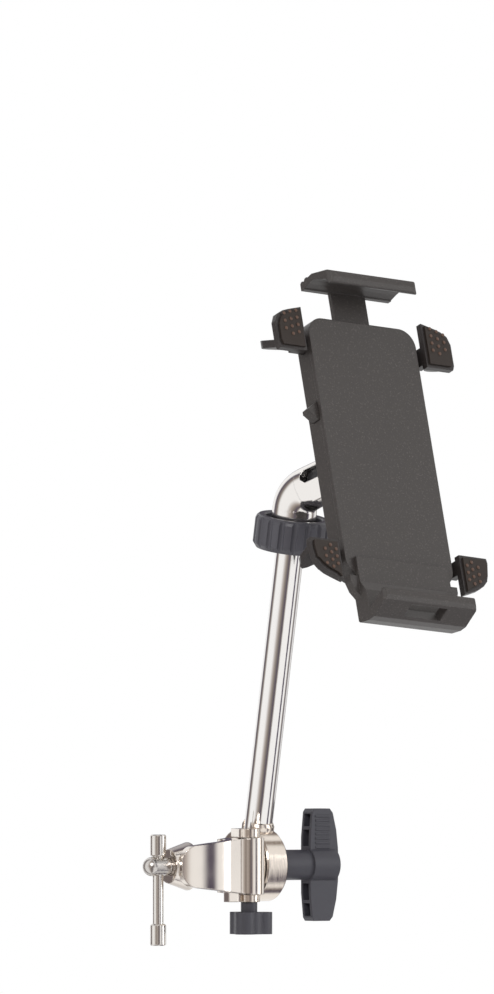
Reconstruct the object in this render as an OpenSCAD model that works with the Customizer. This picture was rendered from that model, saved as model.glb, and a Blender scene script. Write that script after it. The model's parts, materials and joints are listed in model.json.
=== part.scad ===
/* [Clamp] */
// Radius of the tube that the clamp grips
tube_r = 8; // [7:0.1:8.5]
// Height of the clamp band at its boss
band_h = 24; // [22:0.5:26]
// Height of the rounded tongue at the band's free end
tongue_h = 18; // [16:0.5:20]
// Thickness of the band in front of the tube
band_t = 5.1; // [4.5:0.1:6]
// Radius of the clamp screw's thread
screw_r = 3.5; // [3:0.1:3.8]
// Length of the sliding T-bar, with its end caps
tbar_len = 47; // [42:1:56]
// Radius of the T-bar's rod
tbar_r = 2.3; // [1.8:0.1:2.4]

/* [Swivel and disc joint] */
// Radius of the swivel boss on the clamp
boss_r = 6.5; // [6:0.1:6.8]
// Radius of the two friction discs
disc_r = 15.3; // [14.5:0.1:16]
// Thickness of the eye at the foot of the arm
eye_t = 11.2; // [11.2:0.1:12]
// Radius of the pivot bolt
bolt_r = 3.5; // [3:0.1:3.8]
// Length of the big knob's hub outside the eye
knob_hub_len = 18.5; // [16:0.5:22]
// Height of the big knob's wings
knob_h = 48; // [42:1:56]
// Reach of the small knob's lobes
lock_knob_r = 10; // [9:0.1:10.1]

/* [Arm] */
// Forward lean of the arm
arm_lean = 11.7; // [0:0.5:30]
// Radius of the arm tube
arm_r = 6; // [5:0.1:6]
// Length of the arm from its pivot to the top of the ring nut
arm_len = 150.6; // [120:1:200]
// Radius of the ring nut
ring_r = 16.2; // [15.6:0.1:18]
// Number of flutes round the ring nut
ring_flutes = 18; // [12:1:24]
// Radius of the elbow's leg and outlet
elbow_r = 9.5; // [9:0.1:9.6]
// Bend of the elbow
elbow_bend = 58; // [45:1:75]
// Turn of the elbow about the arm
elbow_turn = 25; // [0:1:45]
// Radius of the ball
ball_r = 7.6; // [7:0.1:7.8]

/* [Cradle] */
// Lean of the cradle from the vertical
cradle_lean = 21.5; // [0:0.5:40]
// Roll of the cradle about its own axis
cradle_roll = 5.8; // [0:0.1:15]
// Yaw of the cradle from the clamp's front
cradle_yaw = 4.5; // [0:0.5:15]
// Width of the cradle's frame
frame_w = 56.4; // [56:0.1:58]
// Distance between the bottoms of the two V grooves
pocket_h = 151.7; // [150:0.1:158]
// Width of the top clip
clip_w = 46; // [40:1:50]
// Width of the bottom tray
tray_w = 48.2; // [44:0.1:50]
// Reach of each wing beyond the frame's side
wing_out = 17.4; // [15:0.1:20]
// Height of each wing
wing_h = 20; // [19:0.5:22]

/* [Hidden] */

$fn = 32;
fine = 48;
eps = 0.01;
// Radial clearance of a running fit
run = 0.05;
// Gap between faces that slide on each other
slip = 0.25;

seat_r = tube_r + 0.1;
mouth_w = seat_r * cos(20);
flat_y = -(seat_r - 0.8);
band_y = -(seat_r + band_t);
jaw_r = 6.8;
cup_r = jaw_r + 0.35;
foot_x = -(seat_r + 5.4);
foot_t = 2;
cup_x = foot_x - 2.7;
block_x = cup_x - 3;
block_end = -(seat_r + 1.5);
block_r1 = 7.2;
block_r2 = 10.2;
tongue_x = -(seat_r + 10.5);
tongue_c = 7;
wall_x = seat_r + 4.5;
wall_y = seat_r * sin(20);
nub_w = 5;
nub_h = 3.2;

tbar_x = block_x - 5.1;
head_r = 4.1;
cap_r = 3.4;
cap_len = 9.2;
cap_seat = head_r + 0.2;
tbar_top = cap_seat + cap_len;
tip_r = 2.4;

swivel_x = 15.3;
swivel_y = -10;
swivel_r = 2.5;
lug_w = 9.3;
lug_top = 3.6;
lug_low = 3;
disc_t = 4.4;
disc_y = 5;
disc_x = 24;
lug_ang = atan2(disc_y - swivel_y, disc_x - disc_t / 2 - swivel_x);
washer_t = 0.7;
eye_x = disc_x + washer_t;
eye_end = eye_x + eye_t;
tube_off = 3.9;
tube_s = 14.6;
tube_t = 1.2;
bolt_head_r = 5.4;
bolt_head_t = 3.2;
hub_r = 6.5;
wing_x = eye_end + knob_hub_len;
knob_out = wing_x + 14.5;
lock_hub_r = 3.5;
lock_hub_len = 5.5;
lock_knob_h = 9.4;
lug_bottom = -(band_h / 2 + 0.2 + lug_low);
lock_top = lug_bottom - 0.1;

ring_h = 14.3;
ring_s = arm_len - ring_h;
sleeve_r = 12;
sleeve_s = ring_s + 1.7;
sleeve_top = arm_len - 3;
sleeve_floor = 4;
leg_s = sleeve_s + sleeve_floor + 0.3;
vertex_s = arm_len + 9.4;
bend_r = 11;
bend_len = bend_r * tan(elbow_bend / 2);
ball_d = 15.5;
cavity_r = ball_r + run;
mouth_r = 6.3;
rim_d = ball_d + sqrt(cavity_r * cavity_r - mouth_r * mouth_r);
notch_r = 3.2;
stem_r = 3;

back_y = -30.4;
frame_h = 118;
frame_zc = -3;
shell_t = 7.6;
skin = 2.2;
plate_t = 2;
corner_r = 8;
shell_front = back_y - shell_t;
plate_front = shell_front - plate_t;
cavity_y = back_y - skin;
frame_top = frame_zc + frame_h / 2;
frame_low = frame_zc - frame_h / 2;
side_x = frame_w / 2;
// Two sliding layers in the housing: rails and spines behind, racks and pinion in front
rail_back = cavity_y - 0.25;
rail_front = rail_back - 2.2;
rack_back = rail_front - 0.4;
rack_front = rack_back - 2.2;
wing_x0 = side_x + 3.5;
wing_x1 = side_x + wing_out;
wing_back = plate_front + 1.7;
wing_front = wing_back - 3;
pad_t = 1;
upper_z = 39.3;
lower_z = -47.2;
rail_up0 = upper_z + 2;
rail_up1 = upper_z + 10;
rail_lo0 = lower_z - 8;
rail_lo1 = lower_z - 1.5;
spine_x0 = 13;
spine_x1 = 16.5;
fin_t = 3.5;
fin_reach = 12;
screw_x = side_x - 7;
screw_up = frame_top - 3;
screw_lo = frame_low + 2.5;
stem_seat = back_y + 4;
flange_r = 7;
flange_t = 3;
tray_z = -78.9;
clip_z = tray_z + pocket_h;
clip_low = clip_z - 1.6;
button_out = 4.6;
button_slot = 8.4;
tongue_w = 18;

// Involute pinion and its racks
gear_m = 0.9;
gear_teeth = 12;
gear_pa = 20;
gear_r = gear_m * gear_teeth / 2;
gear_rb = gear_r * cos(gear_pa);
gear_add = 0.7 * gear_m;
gear_ro = gear_r + gear_add;
gear_rr = gear_r - gear_add - 0.27;
gear_play = 0.24;
gear_p = PI * gear_m;
gear_z = -24;

function turn_x(v, a) = [v[0], v[1] * cos(a) - v[2] * sin(a), v[1] * sin(a) + v[2] * cos(a)];
function turn_z(v, a) = [v[0] * cos(a) - v[1] * sin(a), v[0] * sin(a) + v[1] * cos(a), v[2]];

arm_x = (eye_x + eye_end) / 2;
ball_arm = turn_z([0, -ball_d * sin(elbow_bend), ball_d * cos(elbow_bend)], elbow_turn)
    + [0, tube_off, vertex_s];
ball_pos = turn_x(ball_arm, arm_lean) + [arm_x, disc_y, 0];

module arm_frame() {
    translate([arm_x, disc_y, 0])
        rotate([arm_lean, 0, 0])
            children();
}

module tube_frame() {
    arm_frame()
        translate([0, tube_off, 0])
            children();
}

module elbow_frame() {
    tube_frame()
        translate([0, 0, vertex_s])
            rotate([0, 0, elbow_turn])
                children();
}

// Outlet frame: Z runs out of the elbow's socket, from the corner of its axis
module outlet_frame() {
    elbow_frame()
        rotate([elbow_bend, 0, 0])
            children();
}

// Cradle frame: centred on the ball, -Y to the front, Z up the cradle
module cradle_frame() {
    translate(ball_pos)
        rotate([0, 0, cradle_yaw])
            rotate([-cradle_lean, 0, 0])
                rotate([0, cradle_roll, 0])
                    children();
}

module along_x(x0, x1, r) {
    translate([x0, 0, 0])
        rotate([0, 90, 0])
            cylinder(r = r, h = x1 - x0);
}

module cone_x(x0, x1, r0, r1) {
    translate([x0, 0, 0])
        rotate([0, 90, 0])
            cylinder(r1 = r0, r2 = r1, h = x1 - x0);
}

module rounded_rect(w, h, r) {
    square([w - 2 * r, h], center = true);
    square([w, h - 2 * r], center = true);
    for (sx = [-1, 1], sy = [-1, 1])
        translate([sx * (w / 2 - r), sy * (h / 2 - r)])
            circle(r = r);
}

module box_y(x0, x1, y0, y1, z0, z1) {
    translate([x0, y0, z0])
        cube([x1 - x0, y1 - y0, z1 - z0]);
}

// Front view of the band: a rounded tongue that widens to the boss
module band_outline() {
    x0 = tongue_x + tongue_c;
    x1 = swivel_x + boss_r + 1;
    polygon([[x0, tongue_h / 2], [swivel_x - 2, band_h / 2], [x1, band_h / 2],
        [x1, -band_h / 2], [swivel_x - 2, -band_h / 2], [x0, -tongue_h / 2]]);
    for (s = [-1, 1])
        translate([x0, s * (tongue_h / 2 - tongue_c)])
            circle(r = tongue_c);
    translate([tongue_x, -(tongue_h / 2 - tongue_c)])
        square([tongue_c, tongue_h - 2 * tongue_c]);
}

// Plan of the clamp: crowned band, seat wall and swivel boss
module clamp_plan() {
    crown_r = 45;
    difference() {
        union() {
            intersection() {
                translate([tongue_x - 1, band_y])
                    square([swivel_x - tongue_x, flat_y - band_y]);
                translate([-2, band_y + crown_r])
                    circle(r = crown_r, $fn = 180);
            }
            translate([0, band_y + 0.4])
                square([wall_x - 2, wall_y - band_y - 2.4]);
            translate([0, band_y + 2])
                square([wall_x, wall_y - band_y - 4]);
            translate([wall_x - 2, wall_y - 2])
                circle(r = 2);
            square([wall_x - 2, wall_y]);
            translate([swivel_x, swivel_y])
                circle(r = boss_r);
            translate([swivel_x - 6, swivel_y - 2])
                square([6, 7]);
        }
        circle(r = seat_r, $fn = fine);
        translate([-seat_r, 0])
            square([seat_r + mouth_w, 20]);
    }
}

module clamp_body() {
    color([0.78, 0.75, 0.71]) difference() {
        union() {
            intersection() {
                translate([0, 0, -band_h / 2])
                    linear_extrude(band_h)
                        clamp_plan();
                rotate([90, 0, 0])
                    translate([0, 0, -30])
                        linear_extrude(60)
                            band_outline();
            }
            cone_x(block_x, block_end, block_r1, block_r2);
            translate([nub_w / 2 + 1, band_y + 0.8, -band_h / 2 - nub_h])
                cube([nub_w, 4, nub_h + 3]);
        }
        along_x(cup_x, block_end + 1, cup_r);
        along_x(block_x - 1, cup_x + 1, screw_r + run);
        cylinder(r = seat_r, h = band_h + 20, center = true);
        translate([swivel_x, swivel_y, 0])
            cylinder(r = swivel_r + run, h = band_h + 2, center = true);
    }
}

module jaw_foot() {
    color([0.62, 0.6, 0.58]) difference() {
        along_x(foot_x, foot_x + foot_t, jaw_r);
        along_x(foot_x - 1, foot_x + foot_t - 0.6, tip_r + run);
    }
}

// Rubber face of the jaw, hollowed to the tube
module jaw_rubber() {
    color([0.09, 0.1, 0.17]) difference() {
        along_x(foot_x + foot_t, -seat_r + 4, jaw_r);
        cylinder(r = seat_r, h = 40, center = true, $fn = fine);
    }
}

module clamp_screw() {
    color([0.8, 0.78, 0.75]) difference() {
        union() {
            along_x(foot_x - 1, foot_x + 1.3, tip_r);
            along_x(block_x - 1.9, foot_x - 0.05, screw_r);
            along_x(tbar_x - 3, block_x - 1.6, head_r);
            translate([tbar_x - 3, 0, 0])
                sphere(r = head_r);
        }
        translate([tbar_x, 0, 0])
            cylinder(r = tbar_r + run, h = 20, center = true);
    }
}

module t_bar() {
    color([0.8, 0.78, 0.75])
        translate([tbar_x, 0, tbar_top - tbar_len + 1.5])
            cylinder(r = tbar_r, h = tbar_len - 3);
}

// A turned cap with a chamfered mouth, pressed on the rod
module t_bar_cap() {
    difference() {
        rotate_extrude()
            polygon([[0, 0], [tbar_r + 0.5, 0], [cap_r, 0.6], [cap_r, cap_len - 0.5],
                [cap_r - 0.5, cap_len], [0, cap_len]]);
        translate([0, 0, -1])
            cylinder(r = tbar_r, h = cap_len - 0.5);
    }
}

module t_bar_caps() {
    color([0.8, 0.78, 0.75]) {
        translate([tbar_x, 0, cap_seat])
            t_bar_cap();
        translate([tbar_x, 0, tbar_top - tbar_len + cap_len])
            mirror([0, 0, 1])
                t_bar_cap();
    }
}

module lug(z0, t) {
    translate([swivel_x, swivel_y, z0]) {
        cylinder(r = lug_w / 2, h = t);
        rotate([0, 0, lug_ang])
            translate([0, 0.1 - lug_w / 2, 0])
                cube([18, lug_w - 0.2, t]);
    }
}

module swivel_knuckle() {
    half = band_h / 2 + 0.2;
    color([0.76, 0.73, 0.69]) difference() {
        intersection() {
            union() {
                lug(half, lug_top);
                lug(-half - lug_low, lug_low);
                translate([0, disc_y, 0]) {
                    along_x(disc_x - disc_t, disc_x - 0.8, disc_r);
                    cone_x(disc_x - 0.8, disc_x, disc_r, disc_r - 0.6);
                }
            }
            translate([-40 + disc_x, -40, -40])
                cube([40, 80, 80]);
        }
        translate([0, disc_y, 0])
            along_x(disc_x - disc_t - 5, disc_x + 1, bolt_r + run);
        translate([swivel_x, swivel_y, -half])
            cylinder(r = boss_r + slip, h = 2 * half);
        translate([swivel_x, swivel_y, -30])
            cylinder(r = swivel_r + run, h = 60);
        translate([swivel_x, swivel_y, half + lug_top - 1.8])
            cylinder(r = 4, h = 5);
    }
}

module swivel_bolt() {
    head_z = band_h / 2 + 0.2 + lug_top - 1.7;
    color([0.7, 0.68, 0.65])
        translate([swivel_x, swivel_y, 0]) {
            translate([0, 0, head_z])
                cylinder(r = 3.9, h = 1.5);
            translate([0, 0, lock_top - 10])
                cylinder(r = swivel_r, h = head_z - lock_top + 10.1);
        }
}

// Plan of the small knob: a round middle with three lobes
module lobes(mid_r, lobe_r) {
    reach = lock_knob_r - 4.2;
    circle(r = mid_r);
    for (a = [-20, 100, 220])
        rotate(a) {
            translate([reach, 0])
                circle(r = lobe_r);
            translate([0, 0.15 - lobe_r])
                square([reach, 2 * lobe_r - 0.3]);
        }
}

// Three-lobed knob with a hollow top and a hub that the bolt screws into
module lock_knob() {
    z = -4.2 - lock_knob_h;
    color([0.1, 0.1, 0.11])
        translate([swivel_x, swivel_y, lock_top])
            difference() {
                union() {
                    difference() {
                        translate([0, 0, z])
                            linear_extrude(lock_knob_h)
                                lobes(6.5, 4.2);
                        translate([0, 0, z + 3.5])
                            linear_extrude(lock_knob_h)
                                lobes(5.1, 2.8);
                    }
                    translate([0, 0, z + 1])
                        cylinder(r = lock_hub_r, h = -z - 1);
                    for (a = [40, 160, 280])
                        rotate([0, 0, a])
                            translate([1, -0.6, z + 1])
                                cube([5, 1.2, lock_knob_h - 3.5]);
                }
                translate([0, 0, -10.3])
                    cylinder(r = swivel_r + run, h = 20);
            }
}

module pivot_bolt() {
    head_x = disc_x - disc_t - 0.1;
    color([0.7, 0.68, 0.65])
        translate([0, disc_y, 0]) {
            translate([head_x - bolt_head_t, 0, 0])
                rotate([0, 90, 0])
                    rotate([0, 0, 30])
                        cylinder(r = bolt_head_r, h = bolt_head_t, $fn = 6);
            along_x(head_x - 0.1, eye_end + 12, bolt_r);
        }
}

module friction_washer() {
    color([0.12, 0.11, 0.11])
        translate([0, disc_y, 0])
            difference() {
                along_x(disc_x + 0.1, eye_x, disc_r - 1.6);
                along_x(disc_x - 1, eye_x + 1, bolt_r + run);
            }
}

// Cast eye of the arm, with the short collar that holds the tube
module arm_eye() {
    collar_r = arm_r + 0.9;
    color([0.77, 0.74, 0.7]) difference() {
        union() {
            arm_frame() {
                translate([-arm_x, 0, 0]) {
                    cone_x(eye_x, eye_x + 0.8, disc_r - 0.6, disc_r);
                    along_x(eye_x + 0.8, eye_end - 1.2, disc_r);
                    cone_x(eye_end - 1.2, eye_end, disc_r, disc_r - 1.2);
                }
            }
            tube_frame()
                translate([0, 0, 6])
                    cylinder(r = arm_r - tube_t, h = tube_s + 3);
            intersection() {
                tube_frame()
                    translate([0, 0, 6])
                        rotate_extrude()
                            polygon([[0, 0], [collar_r, 0], [collar_r, 10.8], [collar_r - 0.8, 12.4],
                                [0, 12.4]]);
                translate([eye_x, -80, -80])
                    cube([eye_t, 160, 160]);
            }
        }
        translate([0, disc_y, 0])
            along_x(eye_x - 1, eye_end + 1, bolt_r + run);
        tube_frame()
            translate([0, 0, tube_s])
                difference() {
                    cylinder(r = arm_r, h = 30);
                    translate([0, 0, -1])
                        cylinder(r = arm_r - tube_t, h = 40);
                }
        tube_frame()
            translate([0, 0, tube_s + 9])
                cylinder(r = arm_r, h = 30);
    }
}

module arm_tube() {
    color([0.82, 0.8, 0.77])
        tube_frame()
            translate([0, 0, tube_s])
                difference() {
                    cylinder(r = arm_r, h = sleeve_s + sleeve_floor - tube_s);
                    translate([0, 0, -1])
                        cylinder(r = arm_r - tube_t, h = arm_len);
                }
}

// Side view of the big knob's wings
module knob_outline() {
    z = knob_h / 2;
    polygon([[wing_x + 1, z - 1.5], [wing_x + 2, z], [knob_out - 4.6, z], [knob_out - 3, z - 1.8],
        [knob_out - 1.2, z * 0.62], [knob_out - 0.3, z * 0.3], [knob_out, 0],
        [knob_out - 0.3, -z * 0.3], [knob_out - 1.2, -z * 0.62], [knob_out - 3, -z + 1.8],
        [knob_out - 4.6, -z], [wing_x + 2, -z], [wing_x + 1, -z + 1.5], [wing_x, -z * 0.5],
        [wing_x, z * 0.5]]);
}

module knob_pocket(w, z0, z1) {
    translate([wing_x - 1, -w / 2, z0])
        cube([knob_out - wing_x - 5, w, z1 - z0]);
}

module arm_knob() {
    w = 7.2;
    pocket_w = w - 2.6;
    rib_step = 1.9;
    color([0.11, 0.11, 0.12])
        translate([0, disc_y, 0])
            difference() {
                union() {
                    along_x(eye_end + 0.3, wing_x + 10, hub_r);
                    difference() {
                        union() {
                            rotate([90, 0, 0])
                                translate([0, 0, -w / 2])
                                    linear_extrude(w)
                                        knob_outline();
                            along_x(wing_x, knob_out - 1.5, hub_r + 1);
                        }
                        for (s = [-1, 1]) {
                            z_hub = hub_r + 1.4;
                            z_web = knob_h / 2 - 9;
                            knob_pocket(pocket_w, s > 0 ? z_hub : -z_web, s > 0 ? z_web : -z_hub);
                            knob_pocket(pocket_w, s > 0 ? z_web + 1.4 : 2.2 - knob_h / 2,
                                s > 0 ? knob_h / 2 - 2.2 : -z_web - 1.4);
                        }
                    }
                    // Finger ribs on the pushing side of each wing
                    for (i = [0:7], s = [-1, 1])
                        translate([wing_x + 2.6, s > 0 ? w / 2 - 0.2 : -w / 2 - 0.3,
                            -s * (knob_h / 2 - 3.2 - i * rib_step) - 0.45])
                            cube([knob_out - wing_x - 7.2, 0.5, 0.9]);
                }
                along_x(eye_end, eye_end + 13, bolt_r + run);
            }
}

module socket_sleeve() {
    color([0.3, 0.3, 0.31])
        tube_frame()
            difference() {
                translate([0, 0, sleeve_s])
                    cylinder(r = sleeve_r, h = sleeve_top - sleeve_s);
                translate([0, 0, sleeve_s - 1])
                    cylinder(r = arm_r, h = 40);
                translate([0, 0, sleeve_s + sleeve_floor])
                    cylinder(r = elbow_r + run, h = 40);
            }
}

module ring_nut() {
    groove_r = 1.3;
    color([0.12, 0.12, 0.13])
        tube_frame()
            difference() {
                translate([0, 0, ring_s])
                    rotate_extrude($fn = fine)
                        polygon([[sleeve_r - 2.5, 0], [ring_r - 1.6, 0], [ring_r, 2.2],
                            [ring_r, ring_h - 2], [ring_r - 0.5, ring_h - 0.8], [ring_r - 1.4, ring_h],
                            [sleeve_r + run + 0.6, ring_h], [sleeve_r + run, ring_h - 0.6],
                            [sleeve_r + run, 1.5], [sleeve_r - 2.5, 1.5]]);
                for (i = [0:ring_flutes - 1])
                    rotate([0, 0, i * 360 / ring_flutes])
                        translate([ring_r + 0.3, 0, ring_s - 1])
                            cylinder(r = groove_r, h = ring_h + 2, $fn = 16);
            }
}

// Polished elbow: a leg in the sleeve, a bend and the socket for the ball
module elbow() {
    color([0.8, 0.78, 0.75]) difference() {
        union() {
            tube_frame()
                translate([0, 0, leg_s])
                    cylinder(r = elbow_r, h = vertex_s - bend_len - leg_s + eps);
            elbow_frame()
                translate([0, -bend_r, -bend_len])
                    rotate([90, 0, 90])
                        rotate_extrude(angle = elbow_bend)
                            translate([bend_r, 0])
                                circle(r = elbow_r - 0.05);
            outlet_frame()
                translate([0, 0, bend_len - eps]) {
                    cylinder(r = elbow_r, h = rim_d - bend_len - 1.2);
                    translate([0, 0, rim_d - bend_len - 1.2])
                        cylinder(r1 = elbow_r, r2 = elbow_r - 1.2, h = 1.2);
                }
        }
        outlet_frame()
            translate([0, 0, ball_d])
                sphere(r = cavity_r);
        outlet_frame()
            translate([0, 0, ball_d])
                cylinder(r = mouth_r, h = 20);
        // Side notch that lets the stem lie over
        outlet_frame()
            rotate([0, 0, 150])
                translate([4, 0, ball_d - 6])
                    rotate([90, 0, 90])
                        linear_extrude(20)
                            polygon([[-notch_r, 20], [-notch_r, 2], [-notch_r + 2, 0], [notch_r - 2, 0],
                                [notch_r, 2], [notch_r, 20]]);
    }
}

// Disc with its axis along Y, between two depths of the cradle
module along_y(x, z, y0, y1, r) {
    translate([x, y1, z])
        rotate([90, 0, 0])
            cylinder(r = r, h = y1 - y0);
}

module ball_stud() {
    color([0.13, 0.12, 0.14]) {
        translate(ball_pos)
            sphere(r = ball_r);
        cradle_frame() {
            along_y(0, 0, stem_seat + 0.2, 0, stem_r);
            along_y(0, 0, stem_seat + 0.2, stem_seat + 0.2 + flange_t, flange_r);
        }
    }
}

// Plug that holds the flange of the ball stud in its hub
module stud_retainer() {
    color([0.15, 0.14, 0.14])
        cradle_frame()
            along_y(0, 0, cavity_y, stem_seat - 0.05, flange_r);
}

module frame_block(w, h, r, y0, y1) {
    translate([0, y1, frame_zc])
        rotate([90, 0, 0])
            linear_extrude(y1 - y0)
                rounded_rect(w, h, r);
}

// The four places of the housing's screws
module at_screws() {
    for (sx = [-1, 1], z = [screw_up, screw_lo])
        translate([sx * screw_x, 0, z])
            children();
}

// Rear half of the housing: a tray with slots for wings, clip and button
module rear_shell() {
    slot = 0.25;
    color([0.13, 0.12, 0.12])
        cradle_frame()
            difference() {
                union() {
                    difference() {
                        frame_block(frame_w, frame_h, corner_r, shell_front, back_y);
                        frame_block(frame_w - 2 * skin, frame_h - 2 * skin, corner_r - skin,
                            shell_front - 1, cavity_y);
                    }
                    at_screws($fn = 16)
                        along_y(0, 0, shell_front, back_y - 1, 2.2);
                    along_y(0, gear_z, rack_front, cavity_y + 1, 2);
                    along_y(0, gear_z, rack_back + 0.2, cavity_y + 1, 3);
                    translate([0, back_y, 0])
                        rotate([-90, 0, 0])
                            cylinder(r1 = 19, r2 = 15, h = 5);
                    along_y(0, 0, back_y, back_y + 11, 11);
                }
                along_y(0, 0, cavity_y - 2, stem_seat + flange_t + 0.4, flange_r + run);
                along_y(0, 0, back_y, back_y + 20, stem_r + run);
                at_screws($fn = 16) {
                    along_y(0, 0, shell_front - 1, back_y + 1, 1.1 + run);
                    along_y(0, 0, back_y - 1.6, back_y + 1, 2 + run);
                }
                box_y(-side_x - 5, side_x + 5, rail_front - slot, rail_back + slot,
                    rail_up0 - slot, rail_up1 + slot);
                box_y(-side_x - 5, side_x + 5, rail_front - slot, rail_back + slot,
                    rail_lo0 - slot, rail_lo1 + slot);
                box_y(-tongue_w / 2 - slot, tongue_w / 2 + slot, rail_front - slot, rail_back + slot,
                    frame_top - 5, frame_top + 5);
                box_y(-side_x - 1, -side_x + 5, rack_front - slot, rail_back + slot,
                    13.6 - button_slot / 2, 13.6 + button_slot / 2);
            }
}

module front_plate() {
    color([0.15, 0.14, 0.14])
        cradle_frame()
            difference() {
                frame_block(frame_w, frame_h, corner_r, plate_front, shell_front);
                at_screws($fn = 16)
                    along_y(0, 0, plate_front + 0.6, shell_front + 1, 1.1 + run);
            }
}

module shell_screws() {
    color([0.5, 0.5, 0.5])
        cradle_frame()
            at_screws($fn = 16) {
                along_y(0, 0, plate_front + 0.7, back_y - 1, 1.1);
                along_y(0, 0, back_y - 1.5, back_y - 0.3, 2);
            }
}

function inv_deg(a) = tan(a) * 180 / PI - a;
// Half of a tooth's angle at radius r
function half_tooth(r) = 90 / gear_teeth - gear_play / 4 / gear_r * 180 / PI
    + inv_deg(gear_pa) - inv_deg(acos(min(1, gear_rb / r)));
function flank(k) = gear_rb + (gear_ro - gear_rb) * k / 3;
function polar(r, a) = [r * cos(a), r * sin(a)];

module gear_outline() {
    polygon([for (i = [0:gear_teeth - 1]) each concat(
        [polar(gear_rr, i * 360 / gear_teeth - half_tooth(gear_rb))],
        [for (k = [0:3]) polar(flank(k), i * 360 / gear_teeth - half_tooth(flank(k)))],
        [for (k = [3:-1:0]) polar(flank(k), i * 360 / gear_teeth + half_tooth(flank(k)))],
        [polar(gear_rr, i * 360 / gear_teeth + half_tooth(gear_rb))])]);
}

module pinion() {
    color([0.82, 0.8, 0.74])
        cradle_frame()
            translate([0, rack_back, gear_z])
                rotate([90, 0, 0])
                    linear_extrude(rack_back - rack_front)
                        difference() {
                            gear_outline();
                            circle(r = 2 + run);
                        }
}

// Rack with its teeth pointing down to the pinion, running from the left spine
module rack_outline() {
    half_tip = gear_p / 4 - gear_play / 4 - gear_add * tan(gear_pa);
    half_root = gear_p / 4 - gear_play / 4 + (gear_add + 0.25) * tan(gear_pa);
    root = gear_r + gear_add + 0.25;
    translate([-spine_x1, root])
        square([spine_x1 + 11.5, 3]);
    for (i = [-2:3])
        translate([(i + 0.5) * gear_p, 0])
            polygon([[-half_tip, gear_r - gear_add], [half_tip, gear_r - gear_add],
                [half_root, root + eps], [-half_root, root + eps]]);
}

module upper_wing_outline(d) {
    x0 = wing_x0 + d;
    x1 = wing_x1 + 0.7 - d;
    z0 = upper_z + d;
    z1 = upper_z + wing_h - d;
    polygon([[x0, z0], [x1 - 0.8, z0], [x1, z0 + 2], [x1, z1 - 8.2], [x1 - 1.5, z1 - 4.6],
        [x1 - 4.5, z1 - 2.8], [x1 - 7.5, z1 - 1.8], [x0, z1]]);
}

module lower_wing_outline(d) {
    x0 = wing_x0 + d;
    x1 = wing_x1 + 1 - d;
    z0 = lower_z - d;
    z1 = lower_z - wing_h + 2 + d;
    polygon([[x0, z0], [x1 - 0.4, z0 - 0.2], [x1, z0 - 2.3], [x1 - 0.9, z0 - 8], [x1 - 1.8, z1 + 7.2],
        [x1 - 4, z1 + 4.8], [x1 - 6.8, z1 + 3], [x1 - 10.4, z1 + 1.6], [x0, z1]]);
}

// Finger lever: a slanted plate that runs back from the wing, up for s = 1 and down for s = -1
module fin(z, s, reach) {
    y0 = wing_back - 2;
    y1 = wing_back + reach;
    rise = s * 0.37 * (reach + 2);
    intersection() {
        translate([wing_x0, 0, 0])
            rotate([90, 0, 90])
                linear_extrude(wing_x1 - wing_x0)
                    polygon([[y0, z], [y1, z + rise], [y1, z + rise + fin_t], [y0, z + fin_t]]);
        translate([0, 0, z - 15])
            linear_extrude(40)
                polygon([[wing_x0, y0], [wing_x1, y0], [wing_x1, y1 - 3], [wing_x1 - 0.8, y1 - 1],
                    [wing_x1 - 2.4, y1], [wing_x1 - 4.5, y1 - 1], [wing_x0, wing_back]]);
    }
}

// One sliding arm, drawn for the side of +X: two wings, rails and spine
module arm_body() {
    for (z = [[rail_up0, rail_up1], [rail_lo0, rail_lo1]]) {
        box_y(spine_x0, wing_x0 + 3.5, rail_front, rail_back, z[0], z[1]);
        box_y(wing_x0, wing_x0 + 3.5, wing_front, rail_back, z[0], z[1]);
    }
    box_y(spine_x0, spine_x1, rail_front, rail_back, rail_lo0, rail_up1);
    translate([0, wing_back, 0])
        rotate([90, 0, 0])
            linear_extrude(wing_back - wing_front) {
                upper_wing_outline(0);
                lower_wing_outline(0);
            }
    fin(upper_z + 0.3, 1, fin_reach);
    fin(lower_z - 1.5 - fin_t, -1, fin_reach - 2.5);
}

module rack_bar() {
    translate([0, rack_back, gear_z])
        rotate([90, 0, 0])
            linear_extrude(rack_back - rack_front)
                children();
}

module rack_root(s) {
    z = gear_z + s * (gear_r + gear_add + 1.75);
    box_y(spine_x0, spine_x1, rack_front, rail_back, z - 1.5, z + 1.5);
}

module left_arm() {
    color([0.15, 0.13, 0.12])
        cradle_frame() {
            mirror([1, 0, 0]) {
                arm_body();
                rack_root(1);
            }
            rack_bar()
                rack_outline();
        }
}

module right_arm() {
    color([0.15, 0.13, 0.12])
        cradle_frame() {
            arm_body();
            rack_root(-1);
            rack_bar()
                rotate(180)
                    rack_outline();
        }
}

module pads() {
    translate([0, wing_front, 0])
        rotate([90, 0, 0])
            linear_extrude(pad_t) {
                upper_wing_outline(1.3);
                lower_wing_outline(1.3);
            }
}

module left_pads() {
    color([0.11, 0.1, 0.1])
        cradle_frame()
            mirror([1, 0, 0])
                pads();
}

module right_pads() {
    color([0.11, 0.1, 0.1])
        cradle_frame()
            pads();
}

// Side section of the top clip: tongue, ribbed roof and lip round a shallow V
module clip_section() {
    z = clip_z;
    polygon([[rail_back, 20], [rail_back, z + 1.4], [-33.6, z + 2.2], [-34.6, z + 2.2], [-35.4, z + 1.6],
        [-36.2, z + 2.7], [-37.6, z + 2.9], [-38.4, z + 2.4], [-41.3, z + 2.9], [-52, z + 0.3],
        [-53.4, z - 1], [-53.7, z - 3.2], [-53.4, z - 5.2], [-52.8, z - 5.8], [-51.6, z - 5.6],
        [-51.1, z - 4.2], [-49.8, z - 3], [-41.8, z], [-38.8, z - 0.4], [rail_front, z - 1.2],
        [rail_front, 20]]);
}

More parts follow.
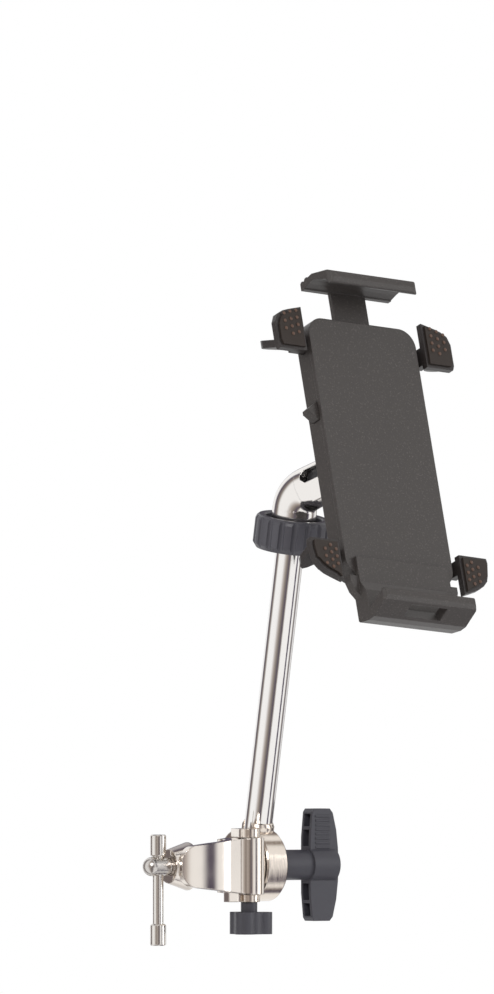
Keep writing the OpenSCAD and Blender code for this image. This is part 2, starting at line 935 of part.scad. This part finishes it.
module top_clip() {
    c = clip_w / 2;
    color([0.17, 0.15, 0.14])
        cradle_frame()
            difference() {
                translate([-c, 0, 0])
                    rotate([90, 0, 90])
                        linear_extrude(clip_w)
                            clip_section();
                translate([0, 0, 10])
                    linear_extrude(clip_low - 10)
                        polygon([[-c - 1, rail_back + 1], [-c - 1, rail_front - 1],
                            [-tongue_w / 2, rail_front - 1], [-tongue_w / 2, rail_back + 1]]);
                translate([0, 0, 10])
                    linear_extrude(clip_low - 10)
                        polygon([[c + 1, rail_back + 1], [c + 1, rail_front - 1],
                            [tongue_w / 2, rail_front - 1], [tongue_w / 2, rail_back + 1]]);
                translate([0, 0, clip_z - 10])
                    linear_extrude(30)
                        for (s = [-1, 1])
                            polygon([[s * (c + 1), -50], [s * c, -51.5], [s * (c - 0.5), -53],
                                [s * (c - 1.6), -54], [s * (c + 1), -54]]);
            }
}

// Side section of the V-shaped tray
module tray_section() {
    z = tray_z;
    y = plate_front;
    polygon([[y, z + 25], [y - 2, z + 25], [y - 2, z + 13.5], [-44.6, z + 9], [-45.6, z], [-54.6, z + 3.9],
        [-55.2, z + 4.9], [-56.2, z + 5.2], [-57, z + 4.2], [-57.2, z + 1.6], [-56.4, z - 0.2],
        [-47.4, z - 4.4], [-43.6, z - 4.6], [-37.6, z - 3.4], [-37, z - 2.6], [-37, frame_low - 0.3],
        [y, frame_low - 0.3]]);
}

module bottom_tray() {
    c = tray_w / 2;
    color([0.17, 0.15, 0.14])
        cradle_frame()
            difference() {
                union() {
                    translate([-c, 0, 0])
                        rotate([90, 0, 90])
                            linear_extrude(tray_w)
                                tray_section();
                    // Apron that widens to the housing
                    translate([0, -37, 0])
                        rotate([90, 0, 0])
                            linear_extrude(4)
                                polygon([[-side_x, frame_low - 0.3], [-side_x, frame_low - 3],
                                    [1.4 - side_x, frame_low - 6.8], [0.1 - c, frame_low - 10],
                                    [c - 0.1, frame_low - 10], [side_x - 1.4, frame_low - 6.8],
                                    [side_x, frame_low - 3], [side_x, frame_low - 0.3]]);
                }
                // Window in the slanted floor
                translate([0, -51, tray_z])
                    rotate([-23.6, 0, 0])
                        translate([-9.5, -3.4, -7])
                            cube([19, 6.8, 11]);
                for (s = [-1, 1])
                    translate([0, 0, tray_z - 10])
                        linear_extrude(30)
                            polygon([[s * (c + 1), -54.5], [s * c, -55.6], [s * (c - 0.6), -57],
                                [s * (c - 1.4), -58], [s * (c + 1), -58]]);
            }
}

// Small push button on the side of the housing, held in by its flange
module release_button() {
    x0 = -side_x + skin + 0.3;
    h = button_slot / 2 - slip;
    color([0.16, 0.15, 0.14])
        cradle_frame()
            translate([0, 0, 13.6]) {
                translate([0, rail_back, 0])
                    rotate([90, 0, 0])
                        linear_extrude(rail_back - rack_front)
                            polygon([[-side_x + 1, -h], [-side_x - 0.4, -h],
                                [-side_x - button_out, -0.8], [-side_x - button_out, 0.8],
                                [-side_x - 0.4, h], [-side_x + 1, h]]);
                box_y(-side_x + 0.9, x0 + 3, rack_front, rack_back, -h + 0.1, h - 0.1);
                box_y(x0, x0 + 3, rack_front, rack_back, -6.5, 6.5);
            }
}

clamp_body();
jaw_foot();
jaw_rubber();
clamp_screw();
t_bar();
t_bar_caps();
swivel_knuckle();
swivel_bolt();
lock_knob();
pivot_bolt();
friction_washer();
arm_eye();
arm_tube();
arm_knob();
socket_sleeve();
ring_nut();
elbow();
ball_stud();
stud_retainer();
rear_shell();
front_plate();
shell_screws();
pinion();
left_arm();
right_arm();
left_pads();
right_pads();
top_clip();
bottom_tray();
release_button();
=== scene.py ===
import json
import math

import bpy
from mathutils import Matrix, Vector


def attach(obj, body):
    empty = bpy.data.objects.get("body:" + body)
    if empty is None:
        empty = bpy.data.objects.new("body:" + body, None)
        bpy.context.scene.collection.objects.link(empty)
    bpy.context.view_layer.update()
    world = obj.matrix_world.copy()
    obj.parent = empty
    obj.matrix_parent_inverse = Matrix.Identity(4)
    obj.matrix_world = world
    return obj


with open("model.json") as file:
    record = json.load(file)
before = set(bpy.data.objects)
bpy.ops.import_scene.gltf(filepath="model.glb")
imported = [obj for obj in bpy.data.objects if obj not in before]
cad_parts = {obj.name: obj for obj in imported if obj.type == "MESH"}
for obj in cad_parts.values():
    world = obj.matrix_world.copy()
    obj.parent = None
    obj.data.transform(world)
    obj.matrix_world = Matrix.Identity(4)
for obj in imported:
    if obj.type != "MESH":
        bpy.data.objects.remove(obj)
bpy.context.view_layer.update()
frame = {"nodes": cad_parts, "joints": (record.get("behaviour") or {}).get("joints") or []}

# Room
# A white room with dark upright bands, which the plated metal mirrors. One set of bands shows to
# rays that point well down and one to all others. The camera itself sees plain white.
scene = bpy.context.scene
scene.view_settings.view_transform = "Standard"
world = bpy.data.worlds.new("surround")
scene.world = world
world.use_nodes = True
new = world.node_tree.nodes.new
link = world.node_tree.links.new

direction = new("ShaderNodeTexCoord")
split = new("ShaderNodeSeparateXYZ")
angle = new("ShaderNodeMath")
angle.operation = "ARCTAN2"
turn = new("ShaderNodeMapRange")
turn.inputs["From Min"].default_value = -math.pi
turn.inputs["From Max"].default_value = math.pi
link(direction.outputs["Generated"], split.inputs[0])
link(split.outputs["Y"], angle.inputs[0])
link(split.outputs["X"], angle.inputs[1])
link(angle.outputs[0], turn.inputs["Value"])


# A stop is a share of the full turn, from the left (-X) by the front and the right to the back.
def bands(stops):
    ramp = new("ShaderNodeValToRGB")
    elements = ramp.color_ramp.elements
    elements[0].position, elements[0].color = stops[0]
    elements[1].position, elements[1].color = stops[-1]
    for position, tone in stops[1:-1]:
        elements.new(position).color = tone
    link(turn.outputs["Result"], ramp.inputs["Fac"])
    return ramp


white = (1, 1, 1, 1)
pale = (0.5, 0.45, 0.42, 1)
warm = (0.26, 0.225, 0.2, 1)
dark = (0.10, 0.085, 0.12, 1)
lower_bands = bands([
    (0.0, white), (0.03, white), (0.08, pale), (0.12, warm), (0.17, dark), (0.19, warm),
    (0.215, white), (0.345, white), (0.36, dark), (0.385, dark), (0.40, white), (0.44, white),
    (0.46, warm), (0.50, dark), (0.53, dark), (0.56, white), (0.66, white), (0.70, warm),
    (0.74, white), (0.79, white), (0.82, dark), (0.87, warm), (0.91, white), (1.0, white)])
upper_bands = bands([
    (0.0, white), (0.05, pale), (0.09, warm), (0.13, pale), (0.17, warm), (0.21, dark),
    (0.235, pale), (0.25, white), (0.285, white), (0.305, dark), (0.325, dark), (0.34, white),
    (0.41, white), (0.43, warm), (0.47, warm), (0.49, white), (0.56, white), (0.60, warm),
    (0.66, dark), (0.70, white), (0.78, white), (0.81, dark), (0.87, warm), (0.91, white),
    (1.0, white)])

# The two sets blend where the Z of a ray's direction lies between these.
lower_end, upper_start = -0.2, -0.1
level = new("ShaderNodeMapRange")
level.inputs["From Min"].default_value = lower_end
level.inputs["From Max"].default_value = upper_start
walls = new("ShaderNodeMix")
walls.data_type = "RGBA"
seen = new("ShaderNodeLightPath")
pick = new("ShaderNodeMix")
pick.data_type = "RGBA"
pick.inputs["B"].default_value = white
link(split.outputs["Z"], level.inputs["Value"])
link(level.outputs["Result"], walls.inputs["Factor"])
link(lower_bands.outputs["Color"], walls.inputs["A"])
link(upper_bands.outputs["Color"], walls.inputs["B"])
link(walls.outputs["Result"], pick.inputs["A"])
link(seen.outputs["Is Camera Ray"], pick.inputs["Factor"])
link(pick.outputs["Result"], world.node_tree.nodes["Background"].inputs["Color"])

# Lamps
# A soft square key lamp stands at the front left, above the holder. A weaker, upright fill lamp
# stands at the front right.
lamp_aim = Vector((0.02, -0.03, 0.12))


def lamp(name, place, size, watts):
    bpy.ops.object.light_add(type="AREA", location=place)
    light = bpy.context.object
    light.name = name
    light.data.shape = "RECTANGLE"
    light.data.size, light.data.size_y = size
    light.data.energy = watts
    light.rotation_mode = "QUATERNION"
    light.rotation_quaternion = (lamp_aim - Vector(place)).to_track_quat("-Z", "Y")


lamp("key", place=(-0.9, -1.1, 0.8), size=(0.6, 0.6), watts=7)
lamp("fill", place=(1.2, -1.0, 0.3), size=(0.5, 0.9), watts=3)

# Floor
# Plain pale paper, which takes the holder's shadow. The camera sees it a little paler than it is
# lit, and metal mirrors the room's bands through it.
floor_width, floor_height = 6, -0.3
paper_tone, paper_rough, paper_glow = 0.88, 0.8, 0.42
bpy.ops.mesh.primitive_plane_add(size=floor_width, location=(0, 0, floor_height))
floor = bpy.context.object
floor.name = "floor"
paper = bpy.data.materials.new("floor")
paper.use_nodes = True
nodes = paper.node_tree.nodes
link = paper.node_tree.links.new
shader = nodes["Principled BSDF"]
shader.inputs["Base Color"].default_value = (paper_tone, paper_tone, paper_tone, 1)
shader.inputs["Roughness"].default_value = paper_rough
shader.inputs["Emission Color"].default_value = white
seen = nodes.new("ShaderNodeLightPath")
glow = nodes.new("ShaderNodeMath")
glow.operation = "MULTIPLY"
glow.inputs[1].default_value = paper_glow
clear = nodes.new("ShaderNodeBsdfTransparent")
mix = nodes.new("ShaderNodeMixShader")
link(seen.outputs["Is Camera Ray"], glow.inputs[0])
link(glow.outputs[0], shader.inputs["Emission Strength"])
link(seen.outputs["Is Glossy Ray"], mix.inputs["Fac"])
link(shader.outputs["BSDF"], mix.inputs[1])
link(clear.outputs["BSDF"], mix.inputs[2])
link(mix.outputs["Shader"], nodes["Material Output"].inputs["Surface"])
floor.data.materials.append(paper)

# Camera
# A long lens five metres off, 33.7 degrees left of the holder's front and just above the clamp,
# tipped up by less than one degree.
azimuth = math.radians(-33.7)
distance, sideways = 5, 0.0174
lens_height, aim_height = 0.08, 0.1566
focal_px, photo_height_px = 11780, 994
film_height = 24
away = Vector((math.sin(azimuth), -math.cos(azimuth), 0))
along = Vector((math.cos(azimuth), math.sin(azimuth), 0))
bpy.ops.object.camera_add(location=away * distance + along * sideways + Vector((0, 0, lens_height)))
camera = bpy.context.object
look = along * sideways + Vector((0, 0, aim_height)) - camera.location
camera.rotation_mode = "QUATERNION"
camera.rotation_quaternion = look.to_track_quat("-Z", "Y")
camera.data.sensor_fit = "VERTICAL"
camera.data.sensor_height = film_height
camera.data.lens = film_height * focal_px / photo_height_px
camera.data.clip_start, camera.data.clip_end = 0.1, 20
scene.camera = camera

# Clamp body
# Zinc casting, bright nickel plated with a warm tone. The plating shows faint unevenness from the
# polishing wheel, and all its edges are slightly rounded.


# grain is the number of noise cells in a metre along X, Y and Z, after a turn by tilt. vary is how
# far the noise moves the roughness, relief is how high it stands, edge is the radius of the edges
# and speck is the colour of the noise's light spots.
def finish(name, colour, metal, rough, grain=(400, 400, 400), tilt=(0, 0, 0), vary=0, relief=0,
           edge=0.0004, speck=None, gloss=0.5):
    noise_low, noise_high = 0.3, 0.7
    speck_start, speck_full = 0.56, 0.74
    material = bpy.data.materials.new(name)
    material.use_nodes = True
    nodes = material.node_tree.nodes
    link = material.node_tree.links.new
    shader = nodes["Principled BSDF"]
    shader.inputs["Base Color"].default_value = (*colour, 1)
    shader.inputs["Metallic"].default_value = metal
    shader.inputs["Roughness"].default_value = rough
    shader.inputs["Specular IOR Level"].default_value = gloss
    place = nodes.new("ShaderNodeTexCoord")
    lay = nodes.new("ShaderNodeMapping")
    lay.inputs["Rotation"].default_value = tilt
    lay.inputs["Scale"].default_value = grain
    noise = nodes.new("ShaderNodeTexNoise")
    noise.inputs["Scale"].default_value = 1
    noise.inputs["Detail"].default_value = 3
    round_off = nodes.new("ShaderNodeBevel")
    round_off.samples = 4
    round_off.inputs["Radius"].default_value = edge
    bump = nodes.new("ShaderNodeBump")
    bump.inputs["Distance"].default_value = relief
    link(place.outputs["Object"], lay.inputs["Vector"])
    link(lay.outputs["Vector"], noise.inputs["Vector"])
    link(noise.outputs["Fac"], bump.inputs["Height"])
    link(round_off.outputs["Normal"], bump.inputs["Normal"])
    link(bump.outputs["Normal"], shader.inputs["Normal"])
    if vary:
        spread = nodes.new("ShaderNodeMapRange")
        spread.inputs["From Min"].default_value = noise_low
        spread.inputs["From Max"].default_value = noise_high
        spread.inputs["To Min"].default_value = rough - vary
        spread.inputs["To Max"].default_value = rough + vary
        link(noise.outputs["Fac"], spread.inputs["Value"])
        link(spread.outputs["Result"], shader.inputs["Roughness"])
    if speck:
        tint = nodes.new("ShaderNodeValToRGB")
        tint.color_ramp.elements[0].position = speck_start
        tint.color_ramp.elements[0].color = (*colour, 1)
        tint.color_ramp.elements[1].position = speck_full
        tint.color_ramp.elements[1].color = (*speck, 1)
        link(noise.outputs["Fac"], tint.inputs["Fac"])
        link(tint.outputs["Color"], shader.inputs["Base Color"])
    return material


def dress(material, *nodes):
    for node in nodes:
        mesh = frame["nodes"][node].data
        mesh.materials.clear()
        mesh.materials.append(material)


casting = finish("plated casting", colour=(0.82, 0.76, 0.70), metal=1, rough=0.13,
                 grain=(60, 60, 60), vary=0.04, relief=0.00004, edge=0.0007)
dress(casting, "clamp_body")

# Jaw foot and jaw rubber
# A turned steel disc swivels on the screw's tip. Its rubber face is moulded with a round hollow,
# black and matt, with a blue tint in its colour that is a painted reflection of a blue sheen.
turned = finish("turned steel", colour=(0.62, 0.59, 0.56), metal=1, rough=0.26,
                grain=(2500, 60, 60), vary=0.05, relief=0.00002, edge=0.0002)
# Black rubber; the blue in this colour is a painted reflection of a blue sheen.
black_rubber_blue_sheen = finish("jaw rubber", colour=(0.022, 0.024, 0.062), metal=0, rough=0.7,
                  grain=(1500, 1500, 1500), relief=0.00005)
dress(turned, "jaw_foot")
dress(black_rubber_blue_sheen, "jaw_rubber")

# Clamp screw
# Plated steel spindle with a right-hand thread of 1.25 mm pitch and a domed, cross-drilled head.
# The thread shows as fine rings along X, which stop short of the head.
thread_pitch, thread_depth = 0.00125, 0.0001
thread_start = -0.0205
# A wave texture of scale 1 repeats after this length.
unit_wave = 0.314
thread = finish("threaded steel", colour=(0.66, 0.63, 0.6), metal=1, rough=0.24,
                relief=thread_depth, edge=0.0003)
nodes = thread.node_tree.nodes
link = thread.node_tree.links.new
place = nodes["Texture Coordinate"]
rings = nodes.new("ShaderNodeTexWave")
rings.bands_direction = "X"
rings.inputs["Scale"].default_value = unit_wave / thread_pitch
split = nodes.new("ShaderNodeSeparateXYZ")
past_head = nodes.new("ShaderNodeMath")
past_head.operation = "GREATER_THAN"
past_head.inputs[1].default_value = thread_start
cut = nodes.new("ShaderNodeMath")
cut.operation = "MULTIPLY"
link(place.outputs["Object"], rings.inputs["Vector"])
link(place.outputs["Object"], split.inputs[0])
link(split.outputs["X"], past_head.inputs[0])
link(past_head.outputs[0], cut.inputs[0])
link(rings.outputs["Fac"], cut.inputs[1])
link(cut.outputs[0], nodes["Bump"].inputs["Height"])
dress(thread, "clamp_screw")

# T-bar and its end caps
# A drawn rod slides in the screw's head. The two turned caps are pressed on its ends and keep it
# from falling out.
bright = finish("bright steel", colour=(0.8, 0.77, 0.73), metal=1, rough=0.16,
                grain=(900, 900, 20), vary=0.04, relief=0.00002)
dress(bright, "t_bar", "t_bar_caps")

# Swivel knuckle and arm eye
# Plated castings like the clamp: two lugs over the clamp's boss with a friction disc, and the foot
# of the arm with a second disc and a collar. The discs are turned, so their marks run round.
disc = finish("turned casting", colour=(0.80, 0.72, 0.64), metal=1, rough=0.17,
              grain=(3000, 50, 50), vary=0.06, relief=0.00002, edge=0.0006)
dress(disc, "swivel_knuckle", "arm_eye")

# Swivel bolt and pivot bolt
# Zinc plated steel. The swivel bolt is upright and carries the small knob; the pivot bolt lies
# through both discs, and the big knob draws them together.
zinc = finish("zinc plated steel", colour=(0.58, 0.56, 0.53), metal=1, rough=0.3,
              grain=(500, 500, 500), vary=0.06, relief=0.00002, edge=0.0003)
dress(zinc, "swivel_bolt", "pivot_bolt")

# Lock knob and arm knob
# Satin black mouldings. The small one has three lobes and is screwed on the swivel bolt; the large
# one has two wings, hollow at the back and ribbed for the fingers, and goes on the pivot bolt.
satin = finish("knob plastic", colour=(0.062, 0.062, 0.076), metal=0, rough=0.42,
               grain=(900, 900, 900), vary=0.05, relief=0.00002, edge=0.0006)
dress(satin, "lock_knob", "arm_knob")

# Friction washer
# Fibre ring on the pivot bolt, pressed between the two discs. Its near-black colour is painted
# shade: it shows as the dark line round the joint, the shadow in the gap between the discs.
# Near black: painted shade for the gap between the two discs.
washer_gap_shade = finish("washer with painted gap shade", colour=(0.02, 0.018, 0.018), metal=0, rough=0.7,
               grain=(800, 800, 800), relief=0.00003)
dress(washer_gap_shade, "friction_washer")

# Arm tube
# Drawn steel tube, nickel plated and polished lengthwise, so its marks lean with it. It is pressed
# on the eye's spigot.


def joint(name):
    return next(j for j in frame["joints"] if j["name"] == name)


arm_axis = joint("elbow_turn")["axis"]
arm_lean = math.atan2(-arm_axis[1], arm_axis[2])
plated = finish("plated tube", colour=(0.88, 0.86, 0.84), metal=1, rough=0.09,
                grain=(1100, 1100, 6), tilt=(-arm_lean, 0, 0), vary=0.03, relief=0.00001,
                edge=0.0002)
dress(plated, "arm_tube")

# Socket sleeve
# Dark threaded sleeve, pressed on the tube's end and mostly hidden in the ring nut. The elbow's
# leg turns in it.
blackened = finish("dark sleeve", colour=(0.03, 0.03, 0.032), metal=0.6, rough=0.4,
                   grain=(600, 600, 600), relief=0.00002)
dress(blackened, "socket_sleeve")

# Ring nut
# Satin black moulding with round flutes, the same plastic as the knobs, but given a paler colour as
# a painted highlight for the light between the flutes. It is screwed on the sleeve and locks the
# elbow in it.
# Paler than the knobs' colour: a painted highlight for the light between the flutes.
ring_plastic_lit = finish("ring plastic", colour=(0.085, 0.084, 0.1), metal=0, rough=0.38,
                grain=(900, 900, 900), vary=0.05, relief=0.00002, edge=0.0006)
dress(ring_plastic_lit, "ring_nut")

# Elbow
# Plated casting, polished brighter than the clamp, with the ball's socket and a notch for the
# stem. Its leg stands in the sleeve.
polished = finish("polished elbow", colour=(0.86, 0.83, 0.80), metal=1, rough=0.09,
                  grain=(50, 50, 50), vary=0.03, relief=0.00003, edge=0.0006)
dress(polished, "elbow")

# Ball stud and its retainer
# Smooth black plastic: a ball, a stem and a flange that turns in the cradle's hub. A plug keeps
# the flange in.
smooth = finish("ball plastic", colour=(0.02, 0.02, 0.023), metal=0, rough=0.32, edge=0.0003)
dress(smooth, "ball_stud", "stud_retainer")

# Rear shell, front plate, top clip, bottom tray and release button
# Mouldings of dark brown-grey plastic with a fine, lightly speckled texture. The two halves make
# the housing, the clip slides in it on a tongue, and the tray is fixed to its foot.
moulded = finish("cradle plastic", colour=(0.052, 0.046, 0.043), metal=0, rough=0.42,
                 grain=(1400, 1400, 1400), vary=0.05, relief=0.00003, edge=0.0006,
                 speck=(0.11, 0.098, 0.092), gloss=0.6)
dress(moulded, "rear_shell", "front_plate", "top_clip", "bottom_tray", "release_button")

# Shell screws
# Four small self-tapping screws, zinc plated like the bolts. They go in from the back and hold
# the two halves of the housing together.
dress(zinc, "shell_screws")

# Pinion
# Natural acetal gear on a post inside the housing. It meshes with both racks, so the side arms
# always open together.
acetal = finish("acetal", colour=(0.78, 0.75, 0.68), metal=0, rough=0.4, edge=0.0001)
dress(acetal, "pinion")

# Side arms
# One moulding for each side, a little darker than the housing: rails, a rack, and two wings with
# finger levers. They slide in the housing.
arms = finish("arm plastic", colour=(0.034, 0.029, 0.028), metal=0, rough=0.4,
              grain=(1400, 1400, 1400), vary=0.05, relief=0.00002, edge=0.0006,
              speck=(0.07, 0.06, 0.058))
dress(arms, "left_arm", "right_arm")

# Pads
# Soft rubber grips glued in the wings, with columns of small moulded dots that stagger like
# bricks. The dots are redder than the pad and stand on its face.
grip = finish("pad rubber", colour=(0.030, 0.021, 0.016), metal=0, rough=0.6,
              grain=(1200, 1200, 1200), relief=0.00003, edge=0.0003)
dot_rubber = finish("dot rubber", colour=(0.13, 0.075, 0.052), metal=0, rough=0.5, edge=0.0002)
dress(grip, "left_pads", "right_pads")

# The cradle's own axes point right, back and up, from the ball's centre. Each column of dots is
# given by its distance from the cradle's middle and the heights of its dots.
spin = joint("cradle_spin")
cradle = Matrix((joint("right_arm_slide")["axis"], -Vector(spin["axis"]),
                 joint("top_clip_slide")["axis"])).transposed().to_4x4()
cradle.translation = spin["pos_m"]
pad_face = -0.0423
dot_radius, dot_flatness, dot_lift = 0.0008, 0.55, 0.00002
dot_columns = {
    0.0420: (0.0548, 0.0514, 0.0480),
    0.0387: (0.0560, 0.0526, 0.0492, 0.0458),
    0.0354: (0.0569, 0.0536, 0.0503, 0.0470),
    0.0402: (-0.0524, -0.0557, -0.0589),
    0.0371: (-0.0504, -0.0537, -0.0570, -0.0602),
    0.0345: (-0.0521, -0.0553, -0.0586),
}
bpy.ops.object.select_all(action="DESELECT")
bpy.ops.mesh.primitive_uv_sphere_add(segments=14, ring_count=8, radius=dot_radius)
dome = bpy.context.object
bpy.ops.object.mode_set(mode="EDIT")
bpy.ops.mesh.select_all(action="SELECT")
bpy.ops.mesh.bisect(plane_co=(0, 0, 0), plane_no=(0, 1, 0), clear_outer=True)
bpy.ops.mesh.select_all(action="SELECT")
bpy.ops.transform.resize(value=(1, dot_flatness, 1))
bpy.ops.object.mode_set(mode="OBJECT")
for side, name, body in ((-1, "left_pad_dots", "left_side"), (1, "right_pad_dots", "right_side")):
    bpy.ops.object.select_all(action="DESELECT")
    for x, heights in dot_columns.items():
        for z in heights:
            dot = dome.copy()
            dot.data = dome.data.copy()
            scene.collection.objects.link(dot)
            dot.matrix_world = cradle @ Matrix.Translation((side * x, pad_face + dot_lift, z))
            dot.select_set(True)
    # The last dot takes the others in.
    bpy.context.view_layer.objects.active = dot
    bpy.ops.object.join()
    bpy.ops.object.transform_apply(location=True, rotation=True, scale=True)
    bpy.ops.object.shade_smooth()
    dots = bpy.context.object
    dots.name = name
    dots.data.materials.clear()
    dots.data.materials.append(dot_rubber)
    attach(dots, body)
bpy.data.objects.remove(dome)
